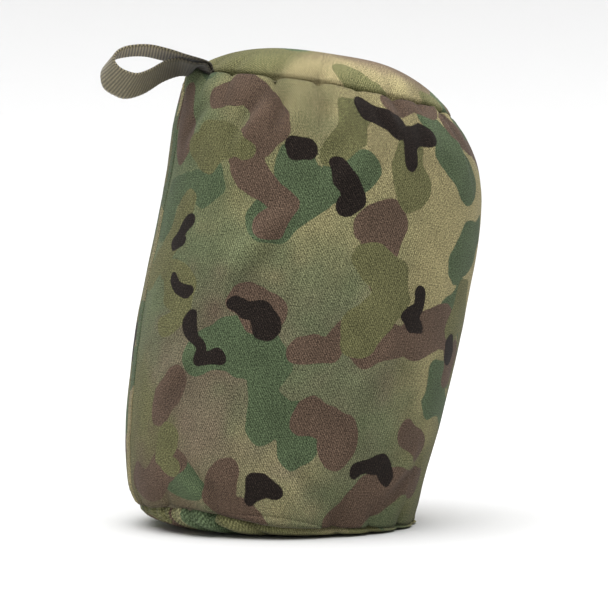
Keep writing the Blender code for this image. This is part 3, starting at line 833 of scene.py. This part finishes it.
def webbing_material():
    """Nylon webbing: cross ribs in two tones, with a heathered thread colour, painted shade on its inner
    face and painted shadow at its roots.
    """
    n = Nodes("webbing_ribbed")
    cloth = n.attribute("cloth", "Vector")
    across, along = (n.add("SeparateXYZ", {0: cloth}, k) for k in (0, 1))
    phase = n.math("ADD", n.math("MULTIPLY", across, RIB_SLANT), along)
    wave = n.math("SINE", n.math("MULTIPLY", phase, 2 * math.pi / RIB_PITCH))
    edge, tooth = n.attribute("edge"), n.attribute("tooth")
    yarn = n.noise(stretched(n, cloth, 0.7, 2.4), 1.0, 3.0)
    fleck = n.noise(cloth, 2.0, 2.0)
    ribbed = n.mix(n.spread(wave, -0.8, 0.8), rgba(84, 75, 55), rgba(160, 147, 114))
    corded = n.mix(n.spread(tooth, 0.25, 0.75), rgba(60, 54, 40), rgba(172, 162, 130))
    colour = n.mix(n.spread(edge, 0.3, 0.7), ribbed, corded)
    # Painted shade: the inner face, turned into the loop, is mixed halfway to a greyer, darker colour
    colour = n.mix(n.math("MULTIPLY", n.attribute("inner"), 0.5), colour, rgba(92, 90, 76))
    # Painted shadow: the webbing darkens to near black close to its roots at the rim
    colour = n.mix(n.attribute("painted_root_shade"), colour, rgba(36, 32, 24))
    light = n.math("MULTIPLY", n.spread(yarn, 0.3, 0.7, 0.78, 1.2), n.spread(fleck, 0.3, 0.7, 0.85, 1.15))
    colour = n.shaded(colour, light)
    n.put(n.shader.inputs["Base Color"], colour)
    height = n.math("ADD", n.math("MULTIPLY", wave, 0.5), yarn)
    n.put(n.shader.inputs["Normal"], n.add("Bump", {"Strength": 0.6, "Distance": 0.0002, "Height": height}))
    n.put(n.shader.inputs["Roughness"], n.spread(yarn, 0.3, 0.7, 0.6, 0.8))
    n.shader.inputs["Sheen Weight"].default_value = 0.15
    return n.material


def plain_cloth(name, colour, scale, roughness):
    """A plain weave for the pieces inside the bag and for thread, in object space."""
    n = Nodes(name)
    at = n.add("TexCoord", output="Object")
    weave = n.add("TexChecker", {"Vector": at, "Scale": scale}, 1)
    fleck = n.noise(at, scale * 0.7, 3.0)
    tone = n.spread(n.math("ADD", n.math("MULTIPLY", weave, 0.35), fleck), 0.3, 1.1, 0.75, 1.2)
    n.put(n.shader.inputs["Base Color"], n.shaded(rgba(*colour), tone))
    n.put(n.shader.inputs["Normal"], n.add("Bump", {"Strength": 0.4, "Distance": 0.0002, "Height": weave}))
    n.put(n.shader.inputs["Roughness"], n.spread(fleck, 0.3, 0.7, roughness - 0.06, roughness + 0.06))
    return n.material


def pellet_material():
    """The loose fill: small round grains."""
    n = Nodes("pellets")
    at = n.add("TexCoord", output="Object")
    grain = n.add("TexVoronoi", {"Vector": at, "Scale": 320.0}, 0)
    tone = n.spread(grain, 0.0, 0.6, 1.0, 0.6)
    n.put(n.shader.inputs["Base Color"], n.shaded(rgba(224, 222, 214), tone))
    n.put(n.shader.inputs["Normal"], n.add("Bump", {"Strength": 0.8, "Distance": 0.001, "Height": grain}))
    n.put(n.shader.inputs["Roughness"], n.spread(grain, 0.0, 0.6, 0.4, 0.6))
    return n.material


# The seam strip, the port's fold and the stitches


def make_seam_strip(camo, wall):
    """The felled strip over the wall's join: low, round-edged, and printed as its own cut of cloth."""
    radius, z = wall.T
    path = wall[(z > BASE_RIM_Z + 1.2) & (z < TOP_RIM_Z - 1.2) & (radius > wall_radius(z) - 1.0)]
    across = np.linspace(-1, 1, 13)
    degrees = SEAM_ANGLE + np.degrees(across * SEAM_STRIP_WIDTH / 2 / WALL_ARC)
    surface = side_shape(path, degrees)
    above = side_shape(path + outward(path) * 1.0, degrees) - surface
    along = np.arange(len(path))[:, None] * WALL_STEP
    crown = np.clip(1 - np.abs(across) ** 6, 0, 1) ** 0.5
    pucker = 0.06 * noise(along / 3.2, across[None, :] * 0.8, 61)
    raised = 0.10 + 0.34 * crown[None, :] + pucker
    points = surface + above * raised[..., None]
    u = 430 + (across * SEAM_STRIP_WIDTH / 2)[None, :] + along * 0
    v = along + u * 0
    rng = np.random.default_rng(63)
    shapes = random_shapes(rng, WALL_COUNTS, CLOTH_ROUND, CLOTH_TALL)
    ground = random_ground(rng, CLOTH_ROUND, CLOTH_TALL, 60)
    obj = sheet_mesh("seam_strip", points, printed(u, v, shapes, ground, 64), thickness=0.0)
    finish_piece(obj, camo, "camo_fabric", "side_seam_strip", padded=False)
    return surface, above


def make_stitches(name, node, centres, ahead, up, thread):
    """One row of separate stitches: short, round, and drawn into the cloth at both ends."""
    verts, faces = [], []
    rings, sides = 7, 6
    for centre, forward, rise in zip(centres, ahead, up):
        side = np.cross(forward, rise)
        base = len(verts)
        for k in range(rings):
            t = 2 * k / (rings - 1) - 1
            middle = centre + forward * t * STITCH_LENGTH / 2 + rise * (0.06 - 0.30 * t * t)
            thick = THREAD * (0.55 + 0.45 * (1 - t**4))
            for s in range(sides):
                angle = 2 * math.pi * s / sides
                verts.append(middle + thick * (math.cos(angle) * side + math.sin(angle) * rise))
        for k in range(rings - 1):
            for s in range(sides):
                n = (s + 1) % sides
                here, there = base + k * sides, base + (k + 1) * sides
                faces.append((here + s, here + n, there + n, there + s))
        faces.append(tuple(base + s for s in range(sides))[::-1])
        faces.append(tuple(base + (rings - 1) * sides + s for s in range(sides)))
    obj = mesh_object(name, (np.array(verts) * MM).tolist(), faces)
    finish_piece(obj, thread, "thread", node, padded=False)


def along_line(line, rise, pitch):
    """Centres at one pitch along a line of points, with the way ahead and the way up at each."""
    far = lengths(line)
    at = np.arange(pitch / 2, far[-1], pitch)
    centres = np.stack([np.interp(at, far, line[:, k]) for k in range(3)], axis=1)
    up = np.stack([np.interp(at, far, rise[:, k]) for k in range(3)], axis=1)
    return centres, unit(np.gradient(centres, axis=0)), unit(up)


def make_seam_rows(thread, surface, above):
    for name, node, column in (
        ("seam_stitches_front", "side_seam_thread_front", 10),
        ("seam_stitches_back", "side_seam_thread_back", 2),
    ):
        line = surface[3:-3, column] + above[3:-3, column] * 0.38
        make_stitches(name, node, *along_line(line, above[3:-3, column], STITCH_PITCH), thread)


PORT_ANGLES, PORT_PITCH = (254.0, 289.0), 3.4


def make_port(camo, thread, wall_print):
    """The lens-shaped fold where the base seam was closed by hand after filling."""
    columns, rows = 64, 15
    share = np.linspace(0, 1, columns)
    degrees = PORT_ANGLES[0] + (PORT_ANGLES[1] - PORT_ANGLES[0]) * share
    tall = 4.1 * np.sin(np.pi * share) ** 0.7 + 0.3
    proud = 2.1 * np.sin(np.pi * share) ** 0.6 + 0.15
    turned = np.radians(np.linspace(-100, 90, rows))[:, None]
    sag = 0.25 * noise(share * 9, 0, 71)[None, :]
    droop = 0.8 * np.sin(np.pi * share)[None, :]
    z = BASE_RIM_Z + 0.4 + tall[None, :] * (1 + np.sin(turned)) / 2 + sag - droop
    out = np.cos(turned) * proud[None, :] + 0.05
    radius = wall_radius(z) + np.maximum(out, 0.0)
    points = place(radius, z + drawn_up(degrees)[None, :], degrees[None, :])
    u = np.radians(degrees - SEAM_ANGLE)[None, :] * WALL_ARC + z * 0
    attributes = wall_print(u, z)
    # Painted shadow: the underside of the fold is darkened into a dark slit
    attributes["hollow"] = np.clip(-turned / 0.8, 0, 1.2) + 0 * z
    obj = sheet_mesh("port_fold", points, attributes, thickness=0.0)
    finish_piece(obj, camo, "camo_fabric", "port_lip", padded=False)
    line, rise = points[4], points[5] - points[3]
    rise = np.cross(np.gradient(line, axis=0), rise)
    rise = rise * np.sign(-rise[:, 1:2])
    make_stitches("port_stitches", "port_thread", *along_line(line[6:-6], rise[6:-6], PORT_PITCH), thread)


# The webbing loop

# Its near edge from the upper root round the bend to the lower root, and the way that the webbing
# faces there, from the near edge to the far edge
LOOP_STATIONS = [
    ((-45.0, -40.5, 207.5), (-5, 14, -2)),
    ((-52.0, -43.0, 209.5), (-4, 14, -3)),
    ((-60.0, -45.0, 211.0), (-4, 14, -3)),
    ((-68.0, -46.0, 210.5), (-4, 14, -3)),
    ((-73.0, -46.5, 208.5), (-5, 14, -3)),
    ((-75.0, -46.5, 205.0), (-7, 12, -5)),
    ((-73.0, -46.0, 201.5), (-8, 10, -8)),
    ((-69.0, -45.0, 199.5), (-7, 9, -9)),
    ((-65.0, -44.0, 199.0), (-6, 9, -10)),
    ((-60.0, -42.5, 201.0), (-4, 11, -10)),
    ((-54.0, -41.0, 204.5), (-2, 13, -8)),
    ((-48.0, -39.0, 206.0), (-1, 13, -6)),
    ((-41.5, -37.0, 204.5), (-3, 14, -4)),
]
WEBBING_WIDTH, WEBBING = 15.0, 1.25
RIB_PITCH, RIB_SLANT, SELVEDGE_PITCH = 1.3, 0.12, 1.6
# Points to a step between stations, and then how far apart they are made to lie
LOOP_STEPS, LOOP_SPACING = 24, 0.25


def through(knots, per_step):
    """A smooth curve through the knots, all but its two ends, this many points to a step."""
    knots = np.asarray(knots, float)
    t = (np.arange(per_step) / per_step)[:, None]
    pieces = []
    for p0, p1, p2, p3 in zip(knots, knots[1:], knots[2:], knots[3:]):
        pieces.append(catmull(p0, p1, p2, p3, t))
    return np.concatenate(pieces)


def loop_route():
    """The near edge and the width direction, from inside the rim seam, round the loop, and back in."""
    joint = frame["record"]["behaviour"]["joints"][0]
    hinge = np.array(joint["pos_m"]) / MM
    along = np.array(joint["axis"], float)
    along /= np.linalg.norm(along)
    half = WEBBING_WIDTH / 2
    inner = place(wall_radius(TOP_RIM_Z - ROLL) - 4.6, TOP_RIM_Z - 3.0, LOOP_ANGLE)
    lip = place(wall_radius(TOP_RIM_Z - ROLL) - 2.6, TOP_RIM_Z + 1.2, LOOP_ANGLE)
    out = hinge - lip
    out /= np.linalg.norm(out)
    up = np.cross(along, out)
    up = up * np.sign(up[2])
    ply = up * (WEBBING / 2 + 0.12)
    upper = [inner, lip + ply, hinge + ply]
    lower = [hinge - ply, lip - ply * 0.7, inner]
    stations = [np.array(point) for point, _ in LOOP_STATIONS]
    near = [p - along * half for p in upper] + stations + [p - along * half for p in lower]
    ways = [along] * 3 + [np.array(w) / np.linalg.norm(w) for _, w in LOOP_STATIONS] + [along] * 3
    edge = through([near[0], *near, near[-1]], LOOP_STEPS)
    way = through([ways[0], *ways, ways[-1]], LOOP_STEPS)
    both, _ = resample(np.concatenate([edge, way * 1e-3], axis=1), LOOP_SPACING)
    return both[:, :3], unit(both[:, 3:]), hinge, out


def make_loop(webbing):
    """The webbing in one piece: ribbed faces, corded selvedges, and both ends sewn in the rim."""
    edge, way, hinge, out = loop_route()
    middle = edge + way * WEBBING_WIDTH / 2
    far = lengths(middle)
    normal = unit(np.cross(unit(np.gradient(middle, axis=0)), way))
    flat = np.linspace(-1, 1, 15)
    side = np.concatenate([flat, flat[::-1][1:-1]])
    face = np.concatenate([np.ones(15), -np.ones(13)])
    face[0] = face[14] = 0
    rim = 1 - np.abs(side) ** 14
    tooth = 0.5 + 0.5 * np.cos(2 * np.pi * far / SELVEDGE_PITCH)
    selvedge = np.clip((np.abs(side) - 0.84) / 0.1, 0, 1)
    half = WEBBING / 2 * (0.45 + 0.55 * np.clip(rim, 0, 1) ** 0.5)
    relief = selvedge[None, :] * 0.2 * tooth[:, None] + 0.08
    across = side[None, :] * (WEBBING_WIDTH / 2 + 0.22 * tooth[:, None] * (np.abs(side) > 0.9)[None, :])
    lift = face[None, :] * (half[None, :] + relief - 0.08)
    points = middle[:, None, :] + way[:, None, :] * across[..., None] + normal[:, None, :] * lift[..., None]
    attributes = {
        "cloth": np.stack([across, far[:, None] + across * 0, lift], axis=-1),
        "edge": selvedge[None, :] + far[:, None] * 0,
        "tooth": tooth[:, None] + across * 0,
        # Marks the inner face, which gets painted shade
        "inner": (face < 0)[None, :] + across * 0.0,
        # Painted shadow at the roots, fading within about 22 mm of the hinge
        "painted_root_shade": 0.95 * bell(np.linalg.norm(points - hinge, axis=-1), 22),
    }
    obj = sheet_mesh("webbing_loop", points, attributes, closed=True, thickness=0.0)
    finish_piece(
        obj, webbing, "webbing", "carry_loop", "loop_tail_upper", "loop_tail_lower", body=None, padded=False
    )
    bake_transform(obj)


# Stage, light and camera


def make_stage():
    """A pale floor that curves up into a backdrop."""
    profile = [(-1.6, 0.0), (1.1, 0.0)]
    profile += [(1.1 + 0.9 * math.sin(a), 0.9 - 0.9 * math.cos(a)) for a in np.radians(np.arange(6, 91, 6))]
    profile.append((2.0, 3.0))
    verts = [(x, y, z) for y, z in profile for x in (-3.0, 3.0)]
    faces = [(2 * k, 2 * k + 1, 2 * k + 3, 2 * k + 2) for k in range(len(profile) - 1)]
    floor = mesh_object("floor", verts, faces)
    n = Nodes("paper")
    n.shader.inputs["Base Color"].default_value = (0.68, 0.68, 0.68, 1.0)
    n.shader.inputs["Roughness"].default_value = 0.9
    floor.data.materials.append(n.material)


def make_lights():
    world = bpy.data.worlds.new("studio")
    bpy.context.scene.world = world
    world.use_nodes = True
    background = world.node_tree.nodes["Background"]
    background.inputs["Color"].default_value = (1.0, 1.0, 1.0, 1.0)
    background.inputs["Strength"].default_value = 0.20
    for name, source, spread, strength in (
        ("overhead", (-0.05, -0.20, 1.0), 75, 5.0),
        ("fill", (-0.7, -1.0, 0.4), 60, 0.22),
    ):
        light = bpy.data.lights.new(name, "SUN")
        light.energy = strength
        light.angle = math.radians(spread)
        lamp = linked(name, light)
        lamp.rotation_euler = Vector(source).to_track_quat("Z", "Y").to_euler()
    bpy.context.scene.view_settings.view_transform = "Standard"


def make_camera():
    data = bpy.data.cameras.new("camera")
    camera = linked("camera", data)
    data.sensor_width = 36.0
    data.lens = 36.0 * -EYE[1] / VIEW_WIDTH
    camera.location = Vector(EYE) * MM
    camera.rotation_euler = (math.radians(90), 0, 0)
    bpy.context.scene.camera = camera


def dress_frame(materials):
    """Better materials for the CAD pieces that stay: they are all inside the bag."""
    for slot, nodes in {
        "lining": ("lining_side", "lining_top", "lining_base"),
        "tape": ("top_rim_binding", "base_rim_binding"),
        "thread": ("loop_bar_tack", "top_rim_thread", "base_rim_thread"),
        "pellets": ("fill_pellets",),
    }.items():
        for node in nodes:
            mesh = frame["nodes"][node].data
            mesh.materials.clear()
            mesh.materials.append(materials[slot])


def build():
    camo = camo_material()
    webbing = webbing_material()
    thread = plain_cloth("thread", (92, 88, 66), 2600.0, 0.7)
    wall, wall_print = make_side(camo)
    make_top(camo)
    make_base(camo)
    surface, above = make_seam_strip(camo, wall)
    make_seam_rows(thread, surface, above)
    make_port(camo, thread, wall_print)
    make_loop(webbing)
    dress_frame(
        {
            "lining": plain_cloth("lining", (92, 90, 78), 1500.0, 0.85),
            "tape": plain_cloth("tape", (98, 90, 70), 1100.0, 0.85),
            "thread": thread,
            "pellets": pellet_material(),
        }
    )
    make_stage()
    make_lights()
    make_camera()


build()
